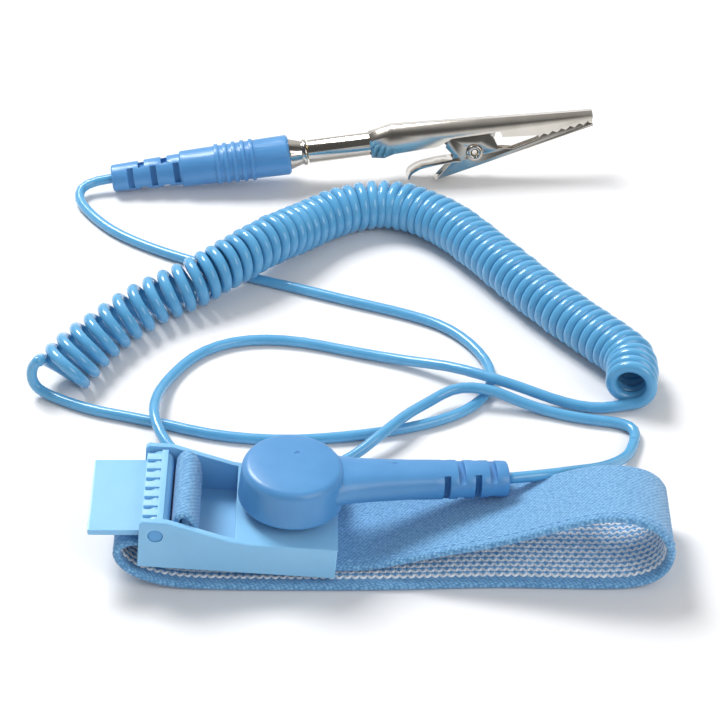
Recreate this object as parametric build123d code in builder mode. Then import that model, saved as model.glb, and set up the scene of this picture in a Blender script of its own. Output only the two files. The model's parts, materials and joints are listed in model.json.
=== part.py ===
from build123d import *
import math
import os

# ESD wrist strap with a curly ground cord, millimetres, +Z up.
# Origin: on the surface that the strap lies on, below the middle of the strap's own box.
# +X runs along the strap from the buckle's lever to the loop, +Y away from the wearer's side.

# ---------------------------------------------------------------- driving dimensions
# buckle, in its own plane: x from the hinge end, z up from its underside
BUCKLE_PITCH = 4.8
BUCKLE_ORIGIN = (-46.5, 0.0, 5.6)
BUCKLE_LENGTH = 37.2
BUCKLE_WIDTH = 24.0
EAR_HEIGHT = 10.9
EAR_LENGTH = 5.2
PLATFORM_HEIGHT = 7.0
PLATFORM_START = 17.9
WINDOW_WIDTH = 21.4
WINDOW_FLOOR = 1.3
PIN_X = 3.1
PIN_Z = 7.7
PIN_RADIUS = 1.45
RUNNING_CLEARANCE = 0.05

# band
BAND_WIDTH = 20.0
BAND_THICKNESS = 1.5
RECESS_DEPTH = 1.25
PLATE_THICKNESS = 0.4

# snap fastener, on the platform
STUD_X = 28.0
STUD_Y = 0.4
STUD_FLANGE_RADIUS = 6.0
STUD_NECK_RADIUS = 4.6
STUD_HEAD_RADIUS = 4.9
STUD_HEIGHT = 3.6
RIVET_RADIUS = 1.6

# plug, in a plane on the platform's top with x along its arm
PLUG_YAW = 7.0
CAP_RADIUS = 10.0
CAP_BOTTOM = 2.2
CAP_TOP = 10.7
ARM_HEIGHT = 5.9
ARM_ROOT = 6.0
RELIEF_START = 29.0
PLUG_LENGTH = 41.3
SOCKET_RADIUS = 7.0
SOCKET_TOP = 5.0

# cord
CORD_DIAMETER = 2.2
COIL_DIAMETER = 10.8

# banana plug and clip, along their common axis from the strain relief's end
CLIP_ORIGIN = (-60.5, 123.3, 3.35)
CLIP_YAW = 5.5
CLIP_RISE = 5.6
CLIP_LEAN = 18.0
HANDLE_START = 15.6
HANDLE_END = 40.3
FERRULE_END = 44.3
BANANA_TIP = 58.0
BARREL_START = 44.5
BARREL_END = 58.5
BARREL_RADIUS = 2.65
BARREL_BORE = 2.15
ROOF_START = 63.5
JAW_TIP = 109.2
PIVOT_S = 81.7
PIVOT_Z = -4.8
TEETH_START = 96.7
TEETH = 6
TOOTH_DEPTH = 0.6
SHEET = 0.4

os.makedirs("parts", exist_ok=True)


def export(sub_part, name):
    sub_part.part.label = name
    export_step(sub_part.part, f"parts/{name}.step")


# ---------------------------------------------------------------- working planes
pitch = math.radians(BUCKLE_PITCH)
buckle_along = Vector(math.cos(pitch), 0, -math.sin(pitch))
buckle_up = Vector(math.sin(pitch), 0, math.cos(pitch))
buckle_plane = Plane(origin=BUCKLE_ORIGIN, x_dir=buckle_along, z_dir=buckle_up)
buckle_side = Plane(origin=BUCKLE_ORIGIN, x_dir=buckle_along, z_dir=(0, -1, 0))

pin_centre = buckle_plane.from_local_coords(Vector(PIN_X, 0, PIN_Z))
lever_side = Plane(origin=pin_centre, x_dir=(1, 0, 0), z_dir=(0, -1, 0))

yaw = math.radians(PLUG_YAW)
plug_along = buckle_along * math.cos(yaw) + Vector(0, math.sin(yaw), 0)
stud_centre = buckle_plane.from_local_coords(Vector(STUD_X, STUD_Y, PLATFORM_HEIGHT))
plug_plane = Plane(origin=stud_centre, x_dir=plug_along, z_dir=buckle_up)
plug_side = Plane(origin=stud_centre, x_dir=plug_along, z_dir=plug_along.cross(buckle_up))
stud_axis = Axis(origin=stud_centre, direction=buckle_up)

rise = math.radians(CLIP_RISE)
turn = math.radians(CLIP_YAW)
lean = math.radians(CLIP_LEAN)
clip_along = Vector(
    math.cos(rise) * math.cos(turn),
    math.cos(rise) * math.sin(turn),
    math.sin(rise),
)
clip_level = Vector(-math.sin(turn), math.cos(turn), 0)
clip_upright = clip_along.cross(clip_level)
clip_up = clip_upright * math.cos(lean) + clip_level * math.sin(lean)
clip_side = Plane(origin=CLIP_ORIGIN, x_dir=clip_along, z_dir=clip_along.cross(clip_up))
clip_axis = Axis(origin=CLIP_ORIGIN, direction=clip_along)


def plug_section(x):
    """Plane across the plug's arm, its x across the arm and its y up."""
    origin = plug_plane.from_local_coords(Vector(x, 0, ARM_HEIGHT))
    return Plane(origin=origin, x_dir=buckle_up.cross(plug_along), z_dir=plug_along)


def clip_section(s):
    """Plane across the clip, its x across the jaws and its y towards the roof."""
    origin = Vector(*CLIP_ORIGIN) + clip_along * s
    return Plane(origin=origin, x_dir=clip_up.cross(clip_along), z_dir=clip_along)


# ---------------------------------------------------------------- swept strips and tubes
def corner_radii(points):
    """Arc radius at each inner point: as large as its two runs allow."""
    radii = []
    for before, here, after in zip(points, points[1:], points[2:]):
        run_in = Vector(*here) - Vector(*before)
        run_out = Vector(*after) - Vector(*here)
        half_turn = math.radians(run_in.get_angle(run_out)) / 2
        shorter = min(run_in.length, run_out.length)
        radii.append(0.45 * shorter / math.tan(half_turn))
    return radii


def tube(points, diameter):
    """Round tube along straight runs joined by tangent arcs."""
    with BuildPart() as swept:
        with BuildLine() as route:
            FilletPolyline(*points, radius=corner_radii(points))
        with BuildSketch(Plane(origin=route.line @ 0, z_dir=route.line % 0)):
            Circle(diameter / 2)
        sweep(path=route.line)
    route_length = sum(edge.length for edge in route.edges())
    ideal = math.pi * diameter**2 / 4 * route_length
    print(f"  length {route_length:.1f}, volume over ideal {swept.part.volume / ideal:.4f}")
    return swept


def strip(points, width, thickness, across):
    """Flat strip of even thickness that follows a path lying in a plane square to across."""
    with BuildPart() as swept:
        with BuildLine() as route:
            FilletPolyline(*points, radius=corner_radii(points))
        with BuildSketch(Plane(origin=route.line @ 0, x_dir=across, z_dir=route.line % 0)):
            Rectangle(width, thickness)
        sweep(path=route.line)
    return swept


# ---------------------------------------------------------------- buckle frame
with BuildPart() as buckle_frame:
    with BuildSketch(buckle_side):
        with BuildLine():
            Polyline(
                (0, 0),
                (BUCKLE_LENGTH, 0),
                (BUCKLE_LENGTH, PLATFORM_HEIGHT),
                (PLATFORM_START + 3.0, PLATFORM_HEIGHT),
                (PLATFORM_START - 1.0, PLATFORM_HEIGHT + 0.5),
                (EAR_LENGTH, EAR_HEIGHT),
                (0.6, EAR_HEIGHT),
                (0, EAR_HEIGHT - 0.6),
                close=True,
            )
        make_face()
    extrude(amount=BUCKLE_WIDTH / 2, both=True)
    fillet(buckle_frame.edges().filter_by(GeomType.LINE).group_by(Axis.Y)[0], radius=0.35)
    fillet(buckle_frame.edges().filter_by(GeomType.LINE).group_by(Axis.Y)[-1], radius=0.35)
    # window between the cheeks, open at the hinge end
    with BuildSketch(buckle_plane.offset(-1)):
        with Locations(((PLATFORM_START - 5) / 2, 0)):
            Rectangle(PLATFORM_START + 5, WINDOW_WIDTH)
    extrude(amount=EAR_HEIGHT + 5, mode=Mode.SUBTRACT)
    # crossbar that the band is pinched against
    with BuildSketch(buckle_side):
        with Locations((PIN_X + 0.3, 1.3)):
            RectangleRounded(3.6, 2.6, 0.6)
    extrude(amount=WINDOW_WIDTH / 2, both=True)
    # thin floor that closes the window from below
    with BuildSketch(buckle_side):
        with Locations(((PIN_X + PLATFORM_START) / 2, WINDOW_FLOOR / 2)):
            Rectangle(PLATFORM_START - PIN_X + 0.6, WINDOW_FLOOR)
    extrude(amount=WINDOW_WIDTH / 2, both=True)
    # shallow recess under the platform for the band's fixed end
    with BuildSketch(buckle_plane):
        with Locations((PLATFORM_START + BUCKLE_LENGTH / 2 + 0.6, 0)):
            Rectangle(BUCKLE_LENGTH, BAND_WIDTH + 0.6)
    extrude(amount=RECESS_DEPTH, mode=Mode.SUBTRACT)
    # pin bores and the rivet's hole
    with BuildSketch(buckle_side):
        with Locations((PIN_X, PIN_Z)):
            Circle(PIN_RADIUS)
    extrude(amount=BUCKLE_WIDTH, both=True, mode=Mode.SUBTRACT)
    with BuildSketch(buckle_plane):
        with Locations((STUD_X, STUD_Y)):
            Circle(RIVET_RADIUS)
    extrude(amount=PLATFORM_HEIGHT, mode=Mode.SUBTRACT)
export(buckle_frame, "buckle_frame")

# ---------------------------------------------------------------- hinge pin
PIN_END_RECESS = 0.1
with BuildPart() as hinge_pin:
    with BuildSketch(lever_side):
        Circle(PIN_RADIUS)
    extrude(amount=BUCKLE_WIDTH / 2 - PIN_END_RECESS, both=True)
    chamfer(hinge_pin.edges().filter_by(GeomType.CIRCLE), length=0.2)
export(hinge_pin, "hinge_pin")

# ---------------------------------------------------------------- clamping lever, drawn open
TAB_LENGTH = 12.8
TAB_WIDTH = 20.8
TAB_TOP = 0.2
TAB_THICKNESS = 1.2
CAM_WIDTH = 20.6
CAM_RADIUS = 2.5
CAM_BACK = 2.1
CAM_TOP = 2.8
LADDER_TEETH = 7
LADDER_PITCH = 2.75
with BuildPart() as lever:
    with BuildSketch(lever_side):
        Circle(CAM_RADIUS)
        with Locations((-0.55, CAM_BACK / 2)):
            Rectangle(4.1, CAM_BACK)
    extrude(amount=CAM_WIDTH / 2, both=True)
    with BuildSketch(lever_side):
        with Locations((-TAB_LENGTH / 2, TAB_TOP - TAB_THICKNESS / 2)):
            Rectangle(TAB_LENGTH, TAB_THICKNESS)
    extrude(amount=TAB_WIDTH / 2, both=True)
    tab_end = lever.edges().filter_by(Axis.Z).group_by(Axis.X)[0]
    fillet(tab_end, radius=0.5)
    # raised bar and the row of teeth that bite into the band when the lever is closed
    with BuildSketch(Plane(origin=pin_centre + Vector(0, 0, CAM_BACK), z_dir=(0, 0, 1))):
        with Locations((0.9, 0)):
            Rectangle(1.2, CAM_WIDTH)
        with GridLocations(1, LADDER_PITCH, 1, LADDER_TEETH):
            with Locations((-1.0, 0)):
                Rectangle(2.8, LADDER_PITCH * 0.62)
    extrude(amount=CAM_TOP - CAM_BACK)
    with BuildSketch(lever_side):
        Circle(PIN_RADIUS + RUNNING_CLEARANCE)
    extrude(amount=BUCKLE_WIDTH, both=True, mode=Mode.SUBTRACT)
export(lever, "lever")

# ---------------------------------------------------------------- elastic band
# middle line of the band, seen from the wearer's side: x along the strap, z up
band_start = buckle_plane.from_local_coords(Vector(19.0, 0, 0.45))
band_exit = buckle_plane.from_local_coords(Vector(41.0, 0, 0.45))
BAND_ROUTE = [
    (band_start.X, band_start.Z),
    (band_exit.X, band_exit.Z),
    (1.2, 3.2),
    (11.0, 5.2),
    (20.0, 7.2),
    (28.0, 9.1),
    (35.0, 12.4),
    (42.4, 17.4),
    (50.8, 15.8),
    (55.0, 9.8),
    (54.8, 3.8),
    (50.0, 1.0),
    (42.0, 0.75),
    (-34.0, 0.75),
    (-42.0, 1.1),
    (-48.2, 3.4),
    (-51.4, 7.0),
    (-49.0, 9.6),
    (-44.6, 8.9),
    (-38.4, 8.7),
]
band_strip = strip(
    [(x, 0, z) for x, z in BAND_ROUTE], BAND_WIDTH, BAND_THICKNESS, across=(0, 1, 0)
)
with BuildPart() as elastic_band:
    add(band_strip.part)
    with BuildSketch(buckle_plane.offset(-2)):
        with Locations((STUD_X, STUD_Y)):
            Circle(RIVET_RADIUS)
    extrude(amount=4, mode=Mode.SUBTRACT)
export(elastic_band, "elastic_band")

# ---------------------------------------------------------------- folded tail of the band
TAIL_OUTLINE = [
    (-39.6, 9.6),
    (-37.2, 9.6),
    (-35.0, 11.6),
    (-34.6, 13.8),
    (-36.2, 15.2),
    (-38.2, 15.2),
    (-39.6, 13.2),
]
with BuildPart() as band_tail:
    with BuildSketch(Plane.XZ) as tail_side:
        with BuildLine():
            Polyline(*TAIL_OUTLINE, close=True)
        make_face()
        fillet(tail_side.vertices(), radius=0.6)
    extrude(amount=BAND_WIDTH / 2, both=True)
export(band_tail, "band_tail")

# ---------------------------------------------------------------- contact plate and rivet
PLATE_BOTTOM = -0.75
with BuildPart() as contact_plate:
    with BuildSketch(buckle_plane.offset(PLATE_BOTTOM)):
        with Locations((STUD_X, 0)):
            RectangleRounded(15.0, 18.0, 2.0)
        with Locations((STUD_X, STUD_Y)):
            Circle(RIVET_RADIUS, mode=Mode.SUBTRACT)
    extrude(amount=PLATE_THICKNESS)
export(contact_plate, "contact_plate")

with BuildPart() as stud_rivet:
    with BuildSketch(plug_plane.offset(PLATE_BOTTOM - PLATE_THICKNESS - PLATFORM_HEIGHT)):
        Circle(3.0)
    extrude(amount=PLATE_THICKNESS)
    with BuildSketch(plug_plane.offset(PLATE_BOTTOM - PLATFORM_HEIGHT)):
        Circle(RIVET_RADIUS)
    extrude(amount=PLATFORM_HEIGHT - PLATE_BOTTOM + 2.4)
export(stud_rivet, "stud_rivet")

with BuildPart() as snap_stud:
    with BuildSketch(plug_side):
        with BuildLine():
            Polyline(
                (RIVET_RADIUS, 0),
                (STUD_FLANGE_RADIUS, 0),
                (STUD_FLANGE_RADIUS, 0.3),
                (STUD_NECK_RADIUS + 0.4, 0.5),
                (STUD_NECK_RADIUS, 0.9),
                (STUD_NECK_RADIUS, 1.9),
                (STUD_HEAD_RADIUS, 2.5),
                (STUD_HEAD_RADIUS, 2.9),
                (STUD_HEAD_RADIUS - 0.7, STUD_HEIGHT),
                (0, STUD_HEIGHT),
                (0, 2.4),
                (RIVET_RADIUS, 2.4),
                close=True,
            )
        make_face()
    revolve(axis=stud_axis)
export(snap_stud, "snap_stud")

# ---------------------------------------------------------------- snap plug
RESISTOR_Z = 5.65
POCKET_HALF = 1.45
POCKET_END = 25.2
with BuildPart() as plug_overmould:
    with BuildSketch(plug_side):
        with BuildLine():
            Polyline(
                (0, CAP_BOTTOM),
                (CAP_RADIUS - 0.3, CAP_BOTTOM),
                (CAP_RADIUS, CAP_BOTTOM + 0.4),
                (CAP_RADIUS - 0.35, CAP_TOP - 2.1),
                (CAP_RADIUS - 0.85, CAP_TOP - 1.05),
                (CAP_RADIUS - 2.0, CAP_TOP - 0.55),
                (CAP_RADIUS / 2, CAP_TOP - 0.15),
                (CAP_RADIUS / 5, CAP_TOP),
                (0, CAP_TOP),
                close=True,
            )
        make_face()
    revolve(axis=stud_axis)
    # arm and strain relief
    for x_near, x_far, size_near, size_far in (
        (ARM_ROOT, RELIEF_START, (12.0, 6.9), (7.8, 6.4)),
        (RELIEF_START, PLUG_LENGTH, (7.8, 6.4), (6.6, 5.7)),
    ):
        for x, (width, height) in ((x_near, size_near), (x_far, size_far)):
            corner = 0.3 * height
            with BuildSketch(plug_section(x)):
                with BuildLine():
                    Polyline(
                        (corner - width / 2, -height / 2),
                        (width / 2 - corner, -height / 2),
                        (width / 2, corner - height / 2),
                        (width / 2, height / 2 - corner),
                        (width / 2 - corner, height / 2),
                        (corner - width / 2, height / 2),
                        (-width / 2, height / 2 - corner),
                        (-width / 2, corner - height / 2),
                        close=True,
                    )
                make_face()
        loft(ruled=True)
    # strain relief slots, in turn from the sides and from above and below
    SLOT_WIDTH = 1.5
    CORE_HALF = 1.6
    for index, x in enumerate((30.3, 33.1, 36.0, 38.9)):
        with BuildSketch(plug_section(x - SLOT_WIDTH / 2)):
            for side in (-1, 1):
                reach = side * (CORE_HALF + 2.5)
                with Locations((reach, 0) if index % 2 == 0 else (0, reach)):
                    Rectangle(*((5, 4.4) if index % 2 == 0 else (5.2, 5)))
        extrude(amount=SLOT_WIDTH, mode=Mode.SUBTRACT)
    # pockets for the socket, the resistor and the cord
    with BuildSketch(plug_plane.offset(CAP_BOTTOM)):
        Circle(SOCKET_RADIUS)
    extrude(amount=SOCKET_TOP - CAP_BOTTOM, mode=Mode.SUBTRACT)
    with BuildSketch(plug_plane.offset(RESISTOR_Z - POCKET_HALF)):
        with Locations(((8.0 + POCKET_END) / 2, 0)):
            Rectangle(POCKET_END - 8.0, 2 * POCKET_HALF)
    extrude(amount=2 * POCKET_HALF, mode=Mode.SUBTRACT)
    with BuildSketch(plug_plane.offset(SOCKET_TOP)):
        with Locations((2.9, 0)):
            Rectangle(10.4, 2 * POCKET_HALF)
    extrude(amount=1.1, mode=Mode.SUBTRACT)
    with BuildSketch(plug_section(POCKET_END)):
        Circle(CORD_DIAMETER / 2)
    extrude(amount=PLUG_LENGTH - POCKET_END + 1, mode=Mode.SUBTRACT)
export(plug_overmould, "plug_overmould")

RING_BOTTOM = 1.5
RING_HEIGHT = 0.6
RING_OUTER = 5.55
with BuildPart() as snap_socket:
    with BuildSketch(plug_side):
        with BuildLine():
            Polyline(
                (5.2, 0.9),
                (SOCKET_RADIUS - 0.4, 0.9),
                (SOCKET_RADIUS, 1.3),
                (SOCKET_RADIUS, SOCKET_TOP),
                (0, SOCKET_TOP),
                (0, 4.3),
                (5.2, 4.3),
                (5.2, RING_BOTTOM + RING_HEIGHT),
                (RING_OUTER, RING_BOTTOM + RING_HEIGHT),
                (RING_OUTER, RING_BOTTOM),
                (5.2, RING_BOTTOM),
                close=True,
            )
        make_face()
    revolve(axis=stud_axis)
export(snap_socket, "snap_socket")

with BuildPart() as socket_spring:
    with BuildSketch(plug_plane.offset(RING_BOTTOM)):
        Circle(RING_OUTER)
        Circle(STUD_HEAD_RADIUS + 0.07, mode=Mode.SUBTRACT)
        with Locations((-RING_OUTER, 0)):
            Rectangle(3, 1.6, mode=Mode.SUBTRACT)
    extrude(amount=RING_HEIGHT)
export(socket_spring, "socket_spring")

LUG_THICKNESS = 0.35
LEAD_RADIUS = 0.3
with BuildPart() as solder_lug:
    with BuildSketch(plug_plane.offset(SOCKET_TOP)):
        with Locations((2.9, 0)):
            RectangleRounded(10.0, 2.2, 0.6)
    extrude(amount=LUG_THICKNESS)
export(solder_lug, "solder_lug")

RESISTOR_START = 10.4
RESISTOR_END = 16.9
RESISTOR_RADIUS = 1.2
LEAD_Z = SOCKET_TOP + LUG_THICKNESS + LEAD_RADIUS
with BuildPart() as safety_resistor:
    with BuildSketch(Plane(
        origin=plug_plane.from_local_coords(Vector(RESISTOR_START, 0, LEAD_Z)),
        z_dir=plug_along,
    )):
        Circle(RESISTOR_RADIUS)
    extrude(amount=RESISTOR_END - RESISTOR_START)
    fillet(safety_resistor.edges().filter_by(GeomType.CIRCLE), radius=0.4)
export(safety_resistor, "safety_resistor")

with BuildPart() as resistor_leads:
    for lead_start, lead_end in ((4.4, RESISTOR_START), (RESISTOR_END, 22.4)):
        with BuildSketch(Plane(
            origin=plug_plane.from_local_coords(Vector(lead_start, 0, LEAD_Z)),
            z_dir=plug_along,
        )):
            Circle(LEAD_RADIUS)
        extrude(amount=lead_end - lead_start)
export(resistor_leads, "resistor_leads")

with BuildPart() as crimp_sleeve:
    with BuildSketch(Plane(
        origin=plug_plane.from_local_coords(Vector(19.4, 0, LEAD_Z)),
        z_dir=plug_along,
    )):
        Circle(0.9)
        Circle(LEAD_RADIUS, mode=Mode.SUBTRACT)
    extrude(amount=POCKET_END - 19.4)
export(crimp_sleeve, "crimp_sleeve")

with BuildPart() as plug_cord_end:
    with BuildSketch(plug_section(POCKET_END)):
        Circle(CORD_DIAMETER / 2)
    extrude(amount=PLUG_LENGTH - POCKET_END)
export(plug_cord_end, "plug_cord_end")

# ---------------------------------------------------------------- cord
relief_end = plug_section(PLUG_LENGTH).origin
CORD_JOIN = (50.2, 31.2, 1.15)
# from the snap plug down behind the strap's loop
PLUG_STRETCH_ROUTE = [
    (relief_end.X + 0.7, relief_end.Y + 0.1, relief_end.Z - 0.06),
    (28.2, 7.2, 13.5),
    (32.6, 11.6, 12.9),
    (38.4, 15.2, 8.8),
    (43.4, 19.4, 4.6),
    (47.4, 24.0, 1.6),
    (49.4, 28.0, 1.15),
    CORD_JOIN,
]
# middle line of the coil, over the clip's lead where that passes under it
COIL_ROUTE = [
    (50.8, 45.4, 5.6),
    (51.4, 53.0, 5.4),
    (45.8, 59.6, 5.4),
    (37.8, 69.2, 5.4),
    (30.8, 79.0, 5.4),
    (22.5, 91.5, 5.4),
    (14.0, 103.4, 5.4),
    (2.2, 111.0, 5.4),
    (-9.5, 107.4, 5.4),
    (-17.5, 100.2, 5.6),
    (-23.6, 92.8, 7.9),
    (-31.6, 84.8, 7.9),
    (-41.0, 78.4, 5.6),
    (-52.0, 68.5, 5.4),
    (-60.0, 59.5, 5.4),
    (-64.2, 52.8, 5.4),
    (-67.4, 46.8, 5.4),
]
# round the turn, over the clip's lead, behind the buckle and back to the coil
SNAP_LEAD_ROUTE = [
    CORD_JOIN,
    (51.1, 34.8, 1.15),
    (46.6, 37.6, 1.15),
    (40.6, 38.4, 1.15),
    (33.6, 40.8, 1.15),
    (27.6, 42.8, 2.2),
    (21.8, 44.8, 3.9),
    (14.8, 45.6, 3.9),
    (9.2, 41.8, 2.8),
    (4.6, 36.4, 3.9),
    (-0.4, 30.0, 3.9),
    (-7.5, 24.0, 1.5),
    (-16.0, 20.4, 1.15),
    (-27.0, 19.2, 1.15),
    (-36.5, 22.0, 1.15),
    (-43.0, 28.0, 2.2),
    (-46.0, 34.6, 3.9),
    (-46.4, 41.4, 3.7),
    (-44.4, 51.6, 1.15),
    (-38.6, 60.8, 1.15),
    (-29.8, 65.4, 1.15),
    (-18.5, 65.2, 1.15),
    (-6.0, 61.0, 1.15),
    (5.5, 57.2, 1.6),
    (14.6, 52.4, 3.9),
    (26.8, 46.8, 3.9),
    (36.2, 44.0, 1.3),
    (43.6, 41.2, 1.15),
    (48.4, 38.8, 3.0),
    (50.6, 42.2, 5.68),
    COIL_ROUTE[0],
]
# straight run into the banana plug's strain relief
handle_entry = Vector(*CLIP_ORIGIN) - clip_along * 5.5
# from the coil along the strap, up behind it, under the coil and into the banana plug
CLIP_LEAD_ROUTE = [
    COIL_ROUTE[-1],
    (-68.6, 44.55, 5.4),
    (-70.4, 40.4, 3.4),
    (-67.0, 37.4, 1.4),
    (-61.8, 39.4, 1.15),
    (-55.0, 40.0, 1.15),
    (-45.0, 37.1, 1.15),
    (-34.0, 33.0, 1.15),
    (-20.0, 31.2, 1.15),
    (-6.0, 32.8, 1.15),
    (6.0, 35.6, 1.15),
    (14.6, 39.8, 1.15),
    (19.6, 45.6, 1.15),
    (21.4, 53.6, 1.15),
    (19.2, 62.2, 1.15),
    (13.6, 70.0, 1.15),
    (5.0, 74.6, 1.15),
    (-6.5, 79.0, 1.15),
    (-18.0, 83.8, 1.15),
    (-28.0, 87.6, 1.15),
    (-38.0, 92.4, 1.15),
    (-49.0, 98.0, 1.15),
    (-58.6, 104.6, 1.15),
    (-64.8, 112.2, 1.15),
    (-68.2, 118.4, 1.6),
    (handle_entry.X, handle_entry.Y, handle_entry.Z),
    CLIP_ORIGIN,
]

cord_nodes = (
    ("cord_plug_stretch", PLUG_STRETCH_ROUTE, CORD_DIAMETER),
    ("cord_snap_lead", SNAP_LEAD_ROUTE, CORD_DIAMETER),
    ("cord_coil", COIL_ROUTE, COIL_DIAMETER),
    ("cord_clip_lead", CLIP_LEAD_ROUTE, CORD_DIAMETER),
)
for cord_name, route_points, cord_diameter in cord_nodes:
    print(cord_name, "radii", " ".join(f"{r:.1f}" for r in corner_radii(route_points)))
    export(tube(route_points, cord_diameter), cord_name)

# ---------------------------------------------------------------- banana plug
RELIEF_RADIUS = 3.0
HANDLE_RADIUS = 4.5
PIN_TAIL_START = 24.0
PIN_TAIL_RADIUS = 2.0
BANANA_PIN_RADIUS = 1.6
GRIP_RINGS = 5
with BuildPart() as banana_handle:
    with BuildSketch(clip_side):
        with BuildLine():
            Polyline(
                (0, 0),
                (0, RELIEF_RADIUS - 0.3),
                (0.3, RELIEF_RADIUS),
                (HANDLE_START, 3.55),
                (HANDLE_START, 3.8),
                (HANDLE_START + 0.3, 4.05),
                (HANDLE_END - 0.5, HANDLE_RADIUS),
                (HANDLE_END, HANDLE_RADIUS - 0.5),
                (HANDLE_END, 0),
                close=True,
            )
        make_face()
    revolve(axis=clip_axis)
    # raised grip rings
    for ring in range(GRIP_RINGS):
        ring_start = 23.6 + 1.95 * ring
        ring_radius = 4.58 + 0.03 * ring
        with BuildSketch(clip_section(ring_start)):
            Circle(ring_radius)
        extrude(amount=0.85)
    # strain relief slots
    for index in range(5):
        with BuildSketch(clip_section(3.6 + 2.6 * index)):
            for side in (-1, 1):
                reach = side * (CORE_HALF + 2.5)
                with Locations((reach, 0) if index % 2 == 0 else (0, reach)):
                    Rectangle(*((5, 4.6) if index % 2 == 0 else (4.6, 5)))
        extrude(amount=1.35, mode=Mode.SUBTRACT)
    # bores for the cord and the pin's tail
    with BuildSketch(clip_section(0)):
        Circle(CORD_DIAMETER / 2)
    extrude(amount=PIN_TAIL_START, mode=Mode.SUBTRACT)
    with BuildSketch(clip_section(PIN_TAIL_START)):
        Circle(PIN_TAIL_RADIUS)
    extrude(amount=HANDLE_END - PIN_TAIL_START, mode=Mode.SUBTRACT)
export(banana_handle, "banana_handle")

with BuildPart() as handle_cord_end:
    with BuildSketch(clip_section(0)):
        Circle(CORD_DIAMETER / 2)
    extrude(amount=PIN_TAIL_START)
export(handle_cord_end, "handle_cord_end")

with BuildPart() as banana_pin:
    with BuildSketch(clip_section(PIN_TAIL_START)):
        Circle(PIN_TAIL_RADIUS)
    extrude(amount=HANDLE_END - PIN_TAIL_START)
    with BuildSketch(clip_section(HANDLE_END)):
        Circle(BANANA_PIN_RADIUS)
    extrude(amount=BANANA_TIP - HANDLE_END)
    fillet(banana_pin.edges().filter_by(GeomType.CIRCLE).sort_by(Axis.X)[-1], radius=0.9)
export(banana_pin, "banana_pin")

with BuildPart() as banana_ferrule:
    with BuildSketch(clip_side):
        with BuildLine():
            Polyline(
                (HANDLE_END, BANANA_PIN_RADIUS),
                (HANDLE_END, 3.5),
                (HANDLE_END + 2.9, 2.65),
                (HANDLE_END + 3.1, 2.95),
                (FERRULE_END - 0.25, 3.0),
                (FERRULE_END, 2.7),
                (FERRULE_END, BANANA_PIN_RADIUS),
                close=True,
            )
        make_face()
    revolve(axis=clip_axis)
export(banana_ferrule, "banana_ferrule")

SPRING_START = 46.0
SPRING_END = 56.5
with BuildPart() as contact_spring:
    with BuildSketch(clip_side):
        with BuildLine():
            Line((SPRING_START, BANANA_PIN_RADIUS + RUNNING_CLEARANCE),
                 (SPRING_END, BANANA_PIN_RADIUS + RUNNING_CLEARANCE))
            Line((SPRING_END, BANANA_PIN_RADIUS + RUNNING_CLEARANCE), (SPRING_END, 1.85))
            ThreePointArc((SPRING_END, 1.85), ((SPRING_START + SPRING_END) / 2, 2.1), (SPRING_START, 1.85))
            Line((SPRING_START, 1.85), (SPRING_START, BANANA_PIN_RADIUS + RUNNING_CLEARANCE))
        make_face()
    revolve(axis=clip_axis)
    # slits that make the sleeve springy
    with BuildSketch(clip_section(SPRING_START + 1.5)):
        with PolarLocations(2.0, 6):
            Rectangle(1.2, 0.35)
    extrude(amount=SPRING_END - SPRING_START - 3.0, mode=Mode.SUBTRACT)
export(contact_spring, "contact_spring")

# ---------------------------------------------------------------- clip, shared outlines
ROOF_EDGE_START = -0.8
ROOF_EDGE_TIP = -0.65
ROOF_TOP_START = 3.7
ROOF_TOP_TIP = 0.9
ROOF_HALF_START = 3.1
ROOF_HALF_TIP = 1.5
PLATE_HALF_START = 2.6
PLATE_HALF_TIP = 1.0
TOOTH_PITCH = (JAW_TIP - 0.2 - TEETH_START) / TEETH
BITE_START = -3.25
BITE_TIP = -1.6
EAR_RADIUS = 5.4


def bite_line(shift):
    """Zigzag where the jaws meet, from the back to the tip, moved up by shift."""
    points = []
    for step in range(2 * TEETH + 1):
        s = TEETH_START + step * TOOTH_PITCH / 2
        middle = BITE_START + (BITE_TIP - BITE_START) * step / (2 * TEETH)
        points.append((s, middle + shift + (TOOTH_DEPTH / 2 if step % 2 else -TOOTH_DEPTH / 2)))
    return points


def side_block(outline):
    """Block through the whole clip with the given side outline."""
    with BuildPart() as block:
        with BuildSketch(clip_side):
            with BuildLine():
                Polyline(*outline, close=True)
            make_face()
        extrude(amount=10, both=True)
    return block


def plate_box(inset, low, high):
    """Tapering box between the clip's side plates, from behind the pivot to the tip."""
    with BuildPart() as box:
        for s, half in ((ROOF_START, PLATE_HALF_START), (JAW_TIP, PLATE_HALF_TIP)):
            with BuildSketch(clip_section(s)):
                with Locations((0, (low + high) / 2)):
                    Rectangle(2 * (half - inset), high - low)
        loft(ruled=True)
    return box


def roof_outline(half, bottom, top, shoulder, inset):
    """Section of the roof with bevelled shoulders, drawn inwards by inset."""
    half = half - inset
    top = top - inset
    bottom = bottom + inset
    shoulder = shoulder - 0.59 * inset
    return [
        (-half, bottom),
        (half, bottom),
        (half, top - shoulder),
        (half - shoulder, top),
        (shoulder - half, top),
        (-half, top - shoulder),
    ]


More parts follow.
